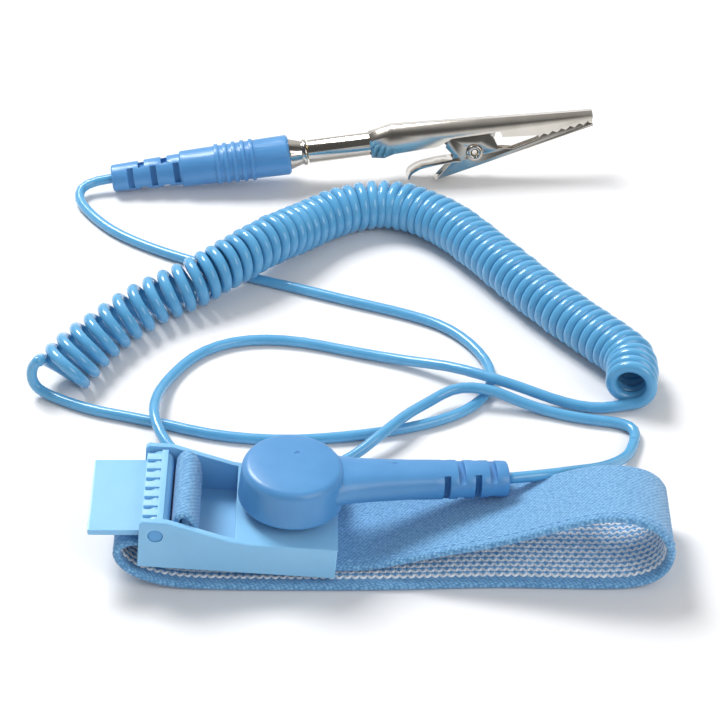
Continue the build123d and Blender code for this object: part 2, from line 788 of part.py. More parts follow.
def roof_shell(inset):
    """Roof that flares out of the barrel and then tapers to the tip, all faces flat."""
    sections = (
        (BARREL_END, BARREL_RADIUS, -BARREL_RADIUS, BARREL_RADIUS, 1.5),
        (ROOF_START, ROOF_HALF_START, -3.4, ROOF_TOP_START, 1.8),
        (JAW_TIP, ROOF_HALF_TIP, -2.4, ROOF_TOP_TIP, 0.8),
    )
    with BuildPart() as roof:
        for near, far in zip(sections, sections[1:]):
            for s, *size in (near, far):
                with BuildSketch(clip_section(s)):
                    with BuildLine():
                        Polyline(*roof_outline(*size, inset), close=True)
                    make_face()
            loft(ruled=True)
    return roof


# ---------------------------------------------------------------- clip, upper jaw
roof_outer = roof_shell(0)
roof_inner = roof_shell(SHEET)
roof_keep = side_block([
    (BARREL_END, -BARREL_RADIUS - 1),
    (BARREL_END + 1.0, -BARREL_RADIUS - 1),
    (ROOF_START, -2.4),
    (73.5, -2.2),
    (77.0, ROOF_EDGE_START),
    (JAW_TIP, ROOF_EDGE_TIP),
    (JAW_TIP, 8),
    (BARREL_END, 8),
])
front_flange_keep = side_block(
    [(88.3, -2.2), (TEETH_START - 0.2, -3.0)]
    + bite_line(0.1)
    + [(JAW_TIP, 0.4), (88.3, 1.4)]
)
inner_ear_keep = side_block([
    (77.5, 2.3),
    (78.7, -6.2),
    (80.2, -7.3),
    (83.2, -7.3),
    (84.8, -6.2),
    (87.0, -1.0),
    (87.6, 1.8),
])
plates_outer = plate_box(0, -12, 3)
plates_inner = plate_box(SHEET, -13, 5)
ears_outer = plate_box(SHEET + 0.06, -12, 4)
ears_inner = plate_box(2 * SHEET + 0.06, -13, 5)

with BuildPart() as roof_part:
    add(roof_outer.part)
    add(roof_inner.part, mode=Mode.SUBTRACT)
    add(roof_keep.part, mode=Mode.INTERSECT)
with BuildPart() as flange_part:
    add(plates_outer.part)
    add(plates_inner.part, mode=Mode.SUBTRACT)
    add(front_flange_keep.part, mode=Mode.INTERSECT)
with BuildPart() as ear_part:
    add(ears_outer.part)
    add(ears_inner.part, mode=Mode.SUBTRACT)
    add(inner_ear_keep.part, mode=Mode.INTERSECT)

pivot_plane = Plane(
    origin=clip_side.from_local_coords(Vector(PIVOT_S, PIVOT_Z, 0)),
    x_dir=clip_along,
    z_dir=clip_side.z_dir,
)
PIVOT_RADIUS = 1.0
with BuildPart() as web_part:
    # web that ties the ears to the roof
    with BuildSketch(clip_side):
        with BuildLine():
            Polyline((77.8, 1.8), (87.4, 1.3), (87.4, 2.1), (77.8, 2.7), close=True)
        make_face()
    extrude(amount=2.3, both=True)
    # web that ties the front flanges to the roof
    with BuildSketch(clip_side):
        with BuildLine():
            Polyline((88.4, 0.9), (108.8, -0.1), (108.8, 0.5), (88.4, 1.9), close=True)
        make_face()
    extrude(amount=2.3, both=True)
    add(roof_outer.part, mode=Mode.INTERSECT)
with BuildPart() as clip_upper_jaw:
    with BuildSketch(clip_section(BARREL_START)):
        Circle(BARREL_RADIUS)
        Circle(BARREL_BORE, mode=Mode.SUBTRACT)
    extrude(amount=BARREL_END - BARREL_START)
    add(roof_part.part)
    add(flange_part.part)
    add(ear_part.part)
    add(web_part.part)
    with BuildSketch(pivot_plane):
        Circle(PIVOT_RADIUS)
    extrude(amount=10, both=True, mode=Mode.SUBTRACT)
print("upper jaw solids", len(clip_upper_jaw.part.solids()))
export(clip_upper_jaw, "clip_upper_jaw")

# ---------------------------------------------------------------- clip, lower jaw
HEEL = (72.2, -9.95)
lower_outline = (
    [HEEL, (JAW_TIP, -2.55)]
    + [(s, z) for s, z in reversed(bite_line(-0.1))]
    + [(95.8, -4.0), (90.4, -5.3), (88.4, -4.9)]
    + [
        (PIVOT_S + EAR_RADIUS * math.cos(math.radians(a)), PIVOT_Z + EAR_RADIUS * math.sin(math.radians(a)))
        for a in (0, 15, 30, 45)
    ]
    + [(76.6, -0.9), (75.3, -2.7), (76.9, -4.9), (76.0, -6.7)]
)
hollow_outline = [
    (70, -10.2),
    (JAW_TIP - 0.9, -2.15),
    (JAW_TIP - 0.9, 3),
    (70, 3),
]
lower_keep = side_block(lower_outline)
hollow_keep = side_block(hollow_outline)
with BuildPart() as lower_hollow:
    add(plates_inner.part)
    add(hollow_keep.part, mode=Mode.INTERSECT)
THUMB_WIDTH = 6.0
thumb_points = [
    clip_side.from_local_coords(Vector(s, z, 0))
    for s, z in ((78.4, -6.0), (73.4, -6.0), (68.9, -6.5), (66.6, -7.6), (66.1, -8.9))
]
thumb_lever = strip(
    [(p.X, p.Y, p.Z) for p in thumb_points], THUMB_WIDTH, 0.5, across=clip_side.z_dir
)
with BuildPart() as clip_lower_jaw:
    add(plates_outer.part)
    add(lower_keep.part, mode=Mode.INTERSECT)
    add(lower_hollow.part, mode=Mode.SUBTRACT)
    with BuildSketch(pivot_plane):
        Circle(PIVOT_RADIUS + RUNNING_CLEARANCE)
    extrude(amount=10, both=True, mode=Mode.SUBTRACT)
    add(thumb_lever.part)
print("lower jaw solids", len(clip_lower_jaw.part.solids()))
export(clip_lower_jaw, "clip_lower_jaw")

# ---------------------------------------------------------------- clip, rivet and spring
plate_half_at_pivot = PLATE_HALF_START + (PLATE_HALF_TIP - PLATE_HALF_START) * (PIVOT_S - ROOF_START) / (
    JAW_TIP - ROOF_START
)
RIVET_HEAD_START = plate_half_at_pivot + 0.12
with BuildPart() as clip_rivet:
    with BuildSketch(pivot_plane):
        Circle(PIVOT_RADIUS)
        Circle(0.6, mode=Mode.SUBTRACT)
    extrude(amount=RIVET_HEAD_START, both=True)
    for side in (-1, 1):
        with BuildSketch(pivot_plane.offset(side * RIVET_HEAD_START)):
            Circle(2.0)
            Circle(0.6, mode=Mode.SUBTRACT)
        extrude(amount=side * 0.6, taper=35)
export(clip_rivet, "clip_rivet")

COIL_HALF = plate_half_at_pivot - 2 * SHEET - 0.2
with BuildPart() as jaw_spring:
    with BuildSketch(pivot_plane):
        Circle(1.75)
        Circle(1.15, mode=Mode.SUBTRACT)
    extrude(amount=COIL_HALF, both=True)
    with BuildSketch(pivot_plane):
        with Locations((-1.4, 3.2)):
            Rectangle(0.6, 6.4)
    extrude(amount=0.3, both=True)
    with BuildSketch(pivot_plane):
        Circle(1.15)
    extrude(amount=COIL_HALF, both=True, mode=Mode.SUBTRACT)
export(jaw_spring, "jaw_spring")

# ---------------------------------------------------------------- joint positions, for the record
print("pin centre", pin_centre)
print("stud centre", stud_centre, "up", buckle_up)
print("relief end", relief_end)
print("clip origin", CLIP_ORIGIN, "along", clip_along, "side", clip_side.z_dir)
print("pivot", pivot_plane.origin)
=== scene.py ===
import json
import math
import random

import bmesh
import bpy
from mathutils import Matrix, Vector


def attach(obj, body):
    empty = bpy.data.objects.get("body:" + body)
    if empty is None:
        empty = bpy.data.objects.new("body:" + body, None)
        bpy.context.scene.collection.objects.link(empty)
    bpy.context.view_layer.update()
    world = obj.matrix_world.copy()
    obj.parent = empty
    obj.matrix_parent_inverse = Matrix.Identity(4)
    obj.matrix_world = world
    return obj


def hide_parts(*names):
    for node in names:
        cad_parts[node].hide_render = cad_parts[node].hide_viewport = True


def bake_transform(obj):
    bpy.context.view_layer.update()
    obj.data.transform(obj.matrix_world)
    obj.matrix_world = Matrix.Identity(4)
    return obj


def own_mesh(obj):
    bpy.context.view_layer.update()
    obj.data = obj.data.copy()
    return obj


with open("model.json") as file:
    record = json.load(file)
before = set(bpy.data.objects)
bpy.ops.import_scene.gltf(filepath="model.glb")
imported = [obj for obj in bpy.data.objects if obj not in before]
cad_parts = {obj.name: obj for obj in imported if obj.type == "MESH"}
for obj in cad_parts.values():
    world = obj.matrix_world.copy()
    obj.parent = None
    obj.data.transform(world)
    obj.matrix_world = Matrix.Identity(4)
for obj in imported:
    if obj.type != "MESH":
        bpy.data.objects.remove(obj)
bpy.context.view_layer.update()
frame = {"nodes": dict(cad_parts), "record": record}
NODES = frame["nodes"]
MM = 0.001


def mm(*values):
    """Point in metres from millimetres."""
    return Vector(values) * MM


# ---------------------------------------------------------------- camera
CAMERA_TARGET = mm(-4.7, 59.75, 0)
CAMERA_DISTANCE = 0.6
CAMERA_ELEVATION = math.radians(37)
VIEW_WIDTH = 0.15

camera_data = bpy.data.cameras.new("camera")
camera_data.sensor_width = 36
camera_data.lens = 36 * CAMERA_DISTANCE / VIEW_WIDTH
camera_data.clip_start = 0.01
camera = bpy.data.objects.new("camera", camera_data)
look = Vector((0, math.cos(CAMERA_ELEVATION), -math.sin(CAMERA_ELEVATION)))
camera.location = CAMERA_TARGET - look * CAMERA_DISTANCE
camera.rotation_euler = (math.pi / 2 - CAMERA_ELEVATION, 0, 0)
bpy.context.scene.collection.objects.link(camera)
bpy.context.scene.camera = camera

# ---------------------------------------------------------------- sizes shared with the CAD
CORD_DIAMETER = 2.2 * MM
COIL_RADIUS = 4.3
CORD_START = (50.2, 31.2, 1.15)
BUCKLE_PITCH = math.radians(4.8)
BUCKLE_ORIGIN = mm(-46.5, 0, 5.6)
buckle_along = Vector((math.cos(BUCKLE_PITCH), 0, -math.sin(BUCKLE_PITCH)))
buckle_up = Vector((math.sin(BUCKLE_PITCH), 0, math.cos(BUCKLE_PITCH)))


def frame_matrix(origin, along, up):
    """Matrix from a local frame, x along and z up, to the shared frame."""
    across = up.cross(along)
    matrix = Matrix((along, across, up)).transposed().to_4x4()
    matrix.translation = origin
    return matrix


BUCKLE = frame_matrix(BUCKLE_ORIGIN, buckle_along, buckle_up)
STUD = BUCKLE @ mm(28.0, 0.4, 7.0)
PLUG_YAW = math.radians(7)
plug_along = buckle_along * math.cos(PLUG_YAW) + Vector((0, math.sin(PLUG_YAW), 0))
PLUG = frame_matrix(STUD, plug_along, buckle_up)
ARM_HEIGHT = 5.9


# ---------------------------------------------------------------- materials
def material(name, colour, roughness, metallic=0.0, coat=0.0, subsurface=0.0):
    """Principled material with fixed values; more nodes are added by its caller."""
    made = bpy.data.materials.new(name)
    made.use_nodes = True
    shader = made.node_tree.nodes["Principled BSDF"]
    shader.inputs["Base Color"].default_value = (*colour, 1)
    shader.inputs["Roughness"].default_value = roughness
    shader.inputs["Metallic"].default_value = metallic
    shader.inputs["Coat Weight"].default_value = coat
    shader.inputs["Subsurface Weight"].default_value = subsurface
    shader.inputs["Subsurface Radius"].default_value = (0.6, 0.8, 1.0)
    shader.inputs["Subsurface Scale"].default_value = MM
    return made


def node(made, kind, **inputs):
    """Adds a node to a material's or the world's tree and sets its inputs by name."""
    added = made.node_tree.nodes.new(kind)
    for key, value in inputs.items():
        added.inputs[key.replace("_", " ")].default_value = value
    return added


def link(made, source, output, target, socket):
    """Joins two nodes; the sockets are given by name or number."""
    made.node_tree.links.new(source.outputs[output], target.inputs[socket])


def tint_noise(made, colour_low, colour_high, scale):
    """Base colour that wanders between two colours."""
    place = node(made, "ShaderNodeTexCoord")
    noise = node(made, "ShaderNodeTexNoise", Scale=scale, Detail=3.0)
    ramp = node(made, "ShaderNodeValToRGB")
    ramp.color_ramp.elements[0].position = 0.3
    ramp.color_ramp.elements[1].position = 0.7
    ramp.color_ramp.elements[0].color = (*colour_low, 1)
    ramp.color_ramp.elements[1].color = (*colour_high, 1)
    link(made, place, "Object", noise, "Vector")
    link(made, noise, "Fac", ramp, "Fac")
    link(made, ramp, "Color", made.node_tree.nodes["Principled BSDF"], "Base Color")


def bump_noise(made, scale, strength):
    """Fine unevenness of the surface."""
    place = node(made, "ShaderNodeTexCoord")
    noise = node(made, "ShaderNodeTexNoise", Scale=scale, Detail=4.0)
    bump = node(made, "ShaderNodeBump", Strength=strength, Distance=0.1 * MM)
    link(made, place, "Object", noise, "Vector")
    link(made, noise, "Fac", bump, "Height")
    link(made, bump, "Normal", made.node_tree.nodes["Principled BSDF"], "Normal")


buckle_plastic = material("buckle_plastic", (0.235, 0.52, 0.79), 0.34, coat=0.12, subsurface=0.25)
tint_noise(buckle_plastic, (0.22, 0.50, 0.77), (0.25, 0.54, 0.81), 90)
bump_noise(buckle_plastic, 900, 0.06)
# painted shade: the hinge pin's ends are the buckle's own plastic, given a darker copy of its blue for
# the shade on them
pin_painted_shade_plastic = material("pin_painted_shade_plastic", (0.10, 0.34, 0.66), 0.38)
tint_noise(pin_painted_shade_plastic, (0.09, 0.32, 0.64), (0.11, 0.36, 0.68), 90)
plug_plastic = material("plug_plastic", (0.078, 0.27, 0.56), 0.36, coat=0.1, subsurface=0.1)
tint_noise(plug_plastic, (0.07, 0.255, 0.54), (0.088, 0.29, 0.59), 120)
bump_noise(plug_plastic, 1500, 0.08)
cord_plastic = material("cord_plastic", (0.105, 0.37, 0.63), 0.22, coat=0.35, subsurface=0.1)
tint_noise(cord_plastic, (0.095, 0.35, 0.61), (0.115, 0.39, 0.66), 200)
bump_noise(cord_plastic, 1200, 0.03)
nickel = material("nickel", (0.66, 0.62, 0.56), 0.17, metallic=1.0)
tint_noise(nickel, (0.61, 0.57, 0.51), (0.71, 0.67, 0.61), 160)
bump_noise(nickel, 700, 0.05)
steel = material("steel", (0.60, 0.60, 0.60), 0.35, metallic=1.0)
tint_noise(steel, (0.55, 0.55, 0.55), (0.65, 0.65, 0.65), 300)
brass = material("brass", (0.75, 0.55, 0.25), 0.3, metallic=1.0)
tint_noise(brass, (0.70, 0.50, 0.22), (0.78, 0.60, 0.30), 300)
resistor_body = material("resistor_body", (0.55, 0.45, 0.30), 0.5)
tint_noise(resistor_body, (0.50, 0.42, 0.28), (0.60, 0.48, 0.33), 300)

NODE_MATERIALS = {
    "buckle_frame": buckle_plastic,
    "lever": buckle_plastic,
    "hinge_pin": pin_painted_shade_plastic,
    "contact_plate": steel,
    "stud_rivet": steel,
    "snap_stud": nickel,
    "plug_overmould": plug_plastic,
    "snap_socket": nickel,
    "socket_spring": brass,
    "solder_lug": brass,
    "safety_resistor": resistor_body,
    "resistor_leads": nickel,
    "crimp_sleeve": brass,
    "plug_cord_end": cord_plastic,
    "handle_cord_end": cord_plastic,
    "banana_handle": plug_plastic,
    "banana_pin": brass,
    "banana_ferrule": nickel,
    "contact_spring": nickel,
    "clip_upper_jaw": nickel,
    "clip_lower_jaw": nickel,
    "clip_rivet": nickel,
    "jaw_spring": steel,
}
for node_name, node_material in NODE_MATERIALS.items():
    NODES[node_name].data.materials.clear()
    NODES[node_name].data.materials.append(node_material)


# ---------------------------------------------------------------- mesh helpers
def new_object(name, data, made):
    """Object of the given mesh or curve with its material, in the scene."""
    piece = bpy.data.objects.new(name, data)
    data.materials.append(made)
    bpy.context.scene.collection.objects.link(piece)
    return piece


def mesh_piece(name, points, faces, made, smooth=True):
    """Object of a mesh made from points in metres and faces."""
    mesh = bpy.data.meshes.new(name)
    mesh.from_pydata([tuple(p) for p in points], [], faces)
    mesh.validate()
    for polygon in mesh.polygons:
        polygon.use_smooth = smooth
    return new_object(name, mesh, made)


def circle(centre, right, up, radius, sides):
    """Ring of points round a centre, in the plane of two directions."""
    ring = []
    for side in range(sides):
        angle = 2 * math.pi * side / sides
        offset = right * math.cos(angle) + up * math.sin(angle)
        ring.append(centre + offset * radius)
    return ring


def tube_faces(first, rings, sides):
    """Faces of a closed tube whose rings follow each other from the vertex numbered first."""
    faces = []
    for ring in range(rings - 1):
        for side in range(sides):
            a = first + ring * sides + side
            b = first + ring * sides + (side + 1) % sides
            faces.append((a, b, b + sides, a + sides))
    last = first + (rings - 1) * sides
    faces.append(tuple(range(first, first + sides))[::-1])
    faces.append(tuple(range(last, last + sides)))
    return faces


def nurbs_curve(name, points, radius, made=None, resolution=4, bevel_resolution=6):
    """Round cord on the NURBS line of its control points, which are in millimetres."""
    data = bpy.data.curves.new(name, "CURVE")
    data.dimensions = "3D"
    data.resolution_u = resolution
    spline = data.splines.new("NURBS")
    spline.points.add(len(points) - 1)
    for place, point in zip(spline.points, points):
        place.co = (*mm(*point), 1)
    spline.order_u = 3
    spline.use_endpoint_u = True
    data.bevel_depth = radius
    data.bevel_resolution = bevel_resolution
    data.use_fill_caps = True
    piece = bpy.data.objects.new(name, data)
    bpy.context.scene.collection.objects.link(piece)
    if made:
        data.materials.append(made)
    return piece


def curve_line(points, resolution=12):
    """Points in millimetres along the NURBS line of the given control points."""
    guide = nurbs_curve("guide", points, 0, resolution=resolution)
    bpy.context.view_layer.update()
    depsgraph = bpy.context.evaluated_depsgraph_get()
    mesh = bpy.data.meshes.new_from_object(guide.evaluated_get(depsgraph))
    line = [v.co / MM for v in mesh.vertices]
    bpy.data.meshes.remove(mesh)
    data = guide.data
    bpy.data.objects.remove(guide)
    bpy.data.curves.remove(data)
    return line


def line_lengths(line):
    """Distance from the start for every point of a line."""
    lengths = [0.0]
    for a, b in zip(line, line[1:]):
        lengths.append(lengths[-1] + (b - a).length)
    return lengths


def at_length(line, lengths, distance):
    """Point and direction on a line of points at a distance from its start."""
    distance = min(max(distance, 0), lengths[-1])
    low, high = 0, len(lengths) - 1
    while high - low > 1:
        middle = (low + high) // 2
        if lengths[middle] <= distance:
            low = middle
        else:
            high = middle
    share = (distance - lengths[low]) / max(lengths[high] - lengths[low], 1e-9)
    return line[low].lerp(line[high], share), (line[high] - line[low]).normalized()


# ---------------------------------------------------------------- cord
PLUG_STRETCH = [
    (23.3, 5.4, 12.7),
    (30.0, 6.8, 12.3),
    (36.8, 11.2, 9.8),
    (42.4, 16.8, 6.0),
    (46.8, 23.2, 2.6),
    (49.2, 27.6, 1.15),
    CORD_START,
]
SNAP_LEAD = [
    CORD_START,
    (51.1, 34.6, 1.15),
    (48.0, 37.2, 1.15),
    (40.6, 38.4, 1.15),
    (33.6, 40.8, 1.15),
    (27.6, 42.8, 2.2),
    (21.8, 44.8, 3.9),
    (14.8, 45.6, 3.9),
    (9.2, 41.8, 2.8),
    (4.6, 36.4, 3.9),
    (-0.4, 30.0, 3.9),
    (-7.5, 24.0, 1.5),
    (-16.0, 20.4, 1.15),
    (-27.0, 19.2, 1.15),
    (-36.5, 22.0, 1.15),
    (-43.0, 28.0, 2.2),
    (-46.0, 34.6, 3.9),
    (-46.4, 41.4, 3.7),
    (-44.4, 51.6, 1.15),
    (-38.6, 60.8, 1.15),
    (-29.8, 65.4, 1.15),
    (-18.5, 65.2, 1.15),
    (-6.0, 61.0, 1.15),
    (5.5, 57.2, 1.6),
    (14.6, 52.4, 3.9),
    (26.8, 46.2, 3.9),
    (36.2, 43.6, 1.4),
    (43.6, 41.6, 1.15),
]
COIL = [
    (50.2, 43.0, 5.8),
    (50.9, 47.6, 5.6),
    (51.0, 53.0, 5.4),
    (45.8, 59.6, 5.4),
    (37.8, 69.2, 5.4),
    (30.8, 79.0, 5.4),
    (22.5, 91.5, 5.4),
    (14.0, 103.4, 5.4),
    (2.2, 111.0, 5.4),
    (-9.5, 107.4, 5.4),
    (-17.5, 100.2, 5.6),
    (-23.6, 92.8, 7.9),
    (-31.6, 84.8, 7.9),
    (-41.0, 78.6, 5.5),
    (-47.4, 74.6, 5.1),
    (-52.6, 69.6, 5.0),
    (-57.6, 63.0, 5.0),
    (-61.8, 56.6, 5.1),
    (-64.8, 50.4, 5.2),
    (-66.3, 47.6, 5.2),
]
# over the last turn, down to the surface and away along it
CLIP_LEAD = [
    (-70.2, 47.6, 8.9),
    (-71.4, 48.0, 7.1),
    (-71.8, 47.8, 4.6),
    (-70.9, 47.5, 2.2),
    (-68.4, 46.4, 1.15),
    (-64.0, 43.8, 1.15),
    (-58.6, 41.2, 1.15),
    (-53.0, 39.6, 1.15),
    (-45.0, 37.1, 1.15),
    (-34.0, 33.0, 1.15),
    (-20.0, 31.2, 1.15),
    (-6.0, 32.8, 1.15),
    (6.0, 35.6, 1.15),
    (15.4, 39.8, 1.15),
    (21.1, 45.6, 1.15),
    (22.9, 53.6, 1.15),
    (19.8, 62.2, 1.15),
    (13.6, 70.0, 1.15),
    (5.0, 74.6, 1.15),
    (-6.5, 79.0, 1.15),
    (-18.0, 83.8, 1.15),
    (-28.0, 87.6, 1.15),
    (-38.0, 92.4, 1.15),
    (-49.0, 98.0, 1.15),
    (-58.6, 104.6, 1.15),
    (-64.8, 112.2, 1.15),
    (-68.2, 118.4, 1.5),
    (-66.4, 122.7, 2.8),
    (-60.5, 123.3, 3.35),
]
STEPS_PER_TURN = 14

# the drawn-out turns at the left have fallen over; the way the first and the last of them face
FIRST_FALLEN = Vector((-0.84, -0.33, -0.43)).normalized()
LAST_FALLEN = Vector((-0.60, -0.48, -0.64)).normalized()

# advance per turn along the coil's axis: tight at the right, drawn out at the left
END_PITCH = 2.3
END_LENGTH = 6
TIGHT_PITCH = 2.24
TIGHT_LENGTH = 72
LOOSE_RISE = 0.3
LOOSE_OVER = 15
LOOSE_PITCH = 2.54
DRAWN_LENGTH = 48
DRAWN_RISE = 1.6
DRAWN_OVER = 20
# distances before the axis' end at which the turns lean over, turn further, widen and may stop
LEAN_FROM = 52
LEAN_OVER = 18
TURN_FROM = 38
TURN_OVER = 34
WIDEN_FROM = 22
WIDEN_OVER = 20
WIDENING = 0.75
WOBBLE = 0.10
LAST_TURN = 4


def coil_pitch(distance, total):
    """Advance per turn at a distance along an axis of the given total length."""
    remaining = total - distance
    if distance < END_LENGTH:
        return END_PITCH
    if distance < TIGHT_LENGTH:
        return TIGHT_PITCH
    if remaining > DRAWN_LENGTH:
        return TIGHT_PITCH + LOOSE_RISE * min(1, (distance - TIGHT_LENGTH) / LOOSE_OVER)
    return LOOSE_PITCH + DRAWN_RISE * min(1, (DRAWN_LENGTH - remaining) / DRAWN_OVER)


def ease(share):
    """Smooth step from 0 to 1."""
    share = min(max(share, 0), 1)
    return share * share * (3 - 2 * share)


def coil_turns():
    """Helix points around the coil's middle line, from its right end to the top of its last turn."""
    axis = curve_line(COIL)
    lengths = line_lengths(axis)
    total = lengths[-1]
    points = []
    distance = 0.0
    angle = math.radians(-90)
    shape = random.Random(7)
    wobble = 0.0
    while distance < total:
        centre, direction = at_length(axis, lengths, distance)
        remaining = total - distance
        fallen_way = FIRST_FALLEN.lerp(LAST_FALLEN, ease((TURN_FROM - remaining) / TURN_OVER))
        facing = direction.lerp(fallen_way, ease((LEAN_FROM - remaining) / LEAN_OVER)).normalized()
        across = facing.cross(Vector((0, 0, 1))).normalized()
        upright = across.cross(facing)
        if len(points) % STEPS_PER_TURN == 0:
            wobble = shape.uniform(-WOBBLE, WOBBLE)
        reach = COIL_RADIUS + wobble + WIDENING * ease((WIDEN_FROM - remaining) / WIDEN_OVER)
        offset = across * math.cos(angle) + upright * math.sin(angle)
        points.append(tuple(centre + offset * reach))
        if remaining < LAST_TURN and len(points) % STEPS_PER_TURN == STEPS_PER_TURN // 2:
            print("coil axis left over", remaining)
            break
        angle += 2 * math.pi / STEPS_PER_TURN
        distance += coil_pitch(distance, total) / STEPS_PER_TURN
    return points


TURN_STOUTNESS = 1.1
helix = coil_turns()
main_route = SNAP_LEAD + helix + CLIP_LEAD
main_cord = nurbs_curve(
    "curly_cord",
    main_route,
    CORD_DIAMETER / 2,
    cord_plastic,
    resolution=3,
    bevel_resolution=5,
)
# the coil's turns are a little stouter than the straight leads
for place in main_cord.data.splines[0].points[len(SNAP_LEAD) : len(SNAP_LEAD) + len(helix)]:
    place.radius = TURN_STOUTNESS
main_length = line_lengths(curve_line(main_route, 6))[-1] * MM
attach(main_cord, "cord_set")
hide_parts("cord_snap_lead", "cord_coil", "cord_clip_lead")
print("main cord length", main_length, "turns", len(helix) / STEPS_PER_TURN)


def tube_mesh(name, points, radius, made, sides=16):
    """Round tube as a mesh along the NURBS line of the points."""
    line = curve_line(points, 10)
    vertices = []
    for index, here in enumerate(line):
        before = line[max(index - 1, 0)]
        after = line[min(index + 1, len(line) - 1)]
        direction = (after - before).normalized()
        across = direction.cross(Vector((0, 0, 1))).normalized()
        upright = across.cross(direction)
        vertices.extend(circle(here * MM, across, upright, radius, sides))
    return mesh_piece(name, vertices, tube_faces(0, len(line), sides), made), line


stretch, stretch_line = tube_mesh("plug_side_cord", PLUG_STRETCH, CORD_DIAMETER / 2, cord_plastic)
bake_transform(stretch)
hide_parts("cord_plug_stretch")

# ---------------------------------------------------------------- light and floor
FLOOR_REACH = 1.5
floor_material = material("floor", (0.80, 0.80, 0.81), 0.6)
tint_noise(floor_material, (0.79, 0.79, 0.80), (0.81, 0.81, 0.82), 3)
floor = mesh_piece(
    "floor",
    [(-FLOOR_REACH, -FLOOR_REACH, 0), (FLOOR_REACH, -FLOOR_REACH, 0)]
    + [(FLOOR_REACH, FLOOR_REACH, 0), (-FLOOR_REACH, FLOOR_REACH, 0)],
    [(0, 1, 2, 3)],
    floor_material,
)


def area_light(name, location, size, power):
    """Square lamp that faces the middle of the object."""
    data = bpy.data.lights.new(name, "AREA")
    data.shape = "SQUARE"
    data.size = size
    data.energy = power
    lamp = bpy.data.objects.new(name, data)
    lamp.location = location
    direction = LIGHT_TARGET - Vector(location)
    lamp.rotation_euler = direction.to_track_quat("-Z", "Y").to_euler()
    bpy.context.scene.collection.objects.link(lamp)


LIGHT_TARGET = mm(0, 60, 0)
area_light("key", (-0.35, 0.45, 0.7), 0.35, 7.6)
area_light("fill", (0.5, -0.4, 0.5), 0.5, 2.4)

world = bpy.data.worlds.new("studio")
bpy.context.scene.world = world
world.use_nodes = True
background = world.node_tree.nodes["Background"]
background.inputs["Strength"].default_value = 0.74
# the room that glossy surfaces mirror: bright at the horizon, below it and over the far side,
# nearly dark overhead and high up behind the viewer
sky_place = node(world, "ShaderNodeTexCoord")
sky_slope = node(world, "ShaderNodeVectorMath")
sky_slope.operation = "DOT_PRODUCT"
sky_slope.inputs[1].default_value = (0, 0.7, 0.5)
sky_parts = node(world, "ShaderNodeSeparateXYZ")
sky_far = node(world, "ShaderNodeMapRange", From_Min=0.5, From_Max=0.86, To_Min=0.12, To_Max=1.0)
sky_low = node(world, "ShaderNodeMapRange", From_Min=0.12, From_Max=0.26, To_Min=1.0, To_Max=0.0)
sky_join = node(world, "ShaderNodeMath")
sky_join.operation = "MAXIMUM"
link(world, sky_place, "Generated", sky_slope, 0)
link(world, sky_place, "Generated", sky_parts, "Vector")
link(world, sky_slope, "Value", sky_far, "Value")
link(world, sky_parts, "Z", sky_low, "Value")
link(world, sky_far, "Result", sky_join, 0)
link(world, sky_low, "Result", sky_join, 1)
# every other ray sees an even room instead
sky_rays = node(world, "ShaderNodeLightPath")
sky_even = node(world, "ShaderNodeMix", A=0.66)
link(world, sky_rays, "Is Glossy Ray", sky_even, "Factor")
link(world, sky_join, "Value", sky_even, "B")
link(world, sky_even, "Result", background, "Color")
bpy.context.scene.view_settings.view_transform = "Standard"

# ---------------------------------------------------------------- elastic band
BAND_WIDTH = 20.0
BAND_THICKNESS = 1.5
WEAVE_TILE = 20
# x, height of the near edge, height of the far edge, y of the near edge
BAND_ROWS = [
    (-27.5, 4.46, 4.46, -10.0),
    (-18.0, 3.66, 3.66, -10.0),
    (-8.6, 2.88, 2.88, -10.0),
    (-2.0, 3.4, 3.2, -10.1),
    (3.5, 5.1, 4.3, -10.3),
    (10.9, 7.5, 6.0, -10.8),
    (17.5, 9.2, 7.4, -11.2),
    (23.0, 11.0, 8.2, -11.5),
    (28.6, 13.1, 9.8, -11.8),
    (35.5, 15.7, 12.4, -12.0),
    (40.0, 16.8, 13.5, -12.0),
    (44.5, 16.9, 13.8, -12.1),
    (49.0, 15.5, 13.0, -12.2),
    (52.0, 12.8, 11.2, -12.2),
    (53.6, 9.2, 8.4, -12.2),
    (53.4, 5.6, 5.4, -12.2),
    (51.2, 2.6, 2.6, -12.3),
    (47.4, 1.0, 1.0, -12.4),
    (42.0, 0.78, 0.78, -12.6),
    (32.0, 0.78, 0.78, -12.4),
    (20.0, 0.78, 0.78, -12.0),
    (0.0, 0.78, 0.78, -12.9),
    (-20.0, 0.78, 0.78, -12.9),
    (-36.0, 0.86, 0.86, -12.7),
    (-42.5, 1.5, 1.5, -12.3),
    (-47.6, 3.4, 3.4, -11.8),
    (-50.4, 6.2, 6.2, -11.2),
    (-50.2, 8.9, 8.9, -10.8),
    (-47.6, 9.9, 9.9, -10.4),
    (-44.4, 9.1, 9.1, -10.0),
    (-38.4, 8.75, 8.75, -10.0),
]
TAIL_ROWS = [
    (-40.4, 9.9, 9.9, -9.9),
    (-39.5, 11.4, 11.4, -9.9),
    (-39.2, 13.4, 13.4, -9.9),
    (-38.8, 15.4, 15.4, -9.9),
    (-37.4, 16.2, 16.2, -9.9),
    (-36.2, 15.0, 15.0, -9.9),
    (-35.6, 12.6, 12.6, -9.9),
    (-35.6, 10.2, 10.2, -9.9),
]


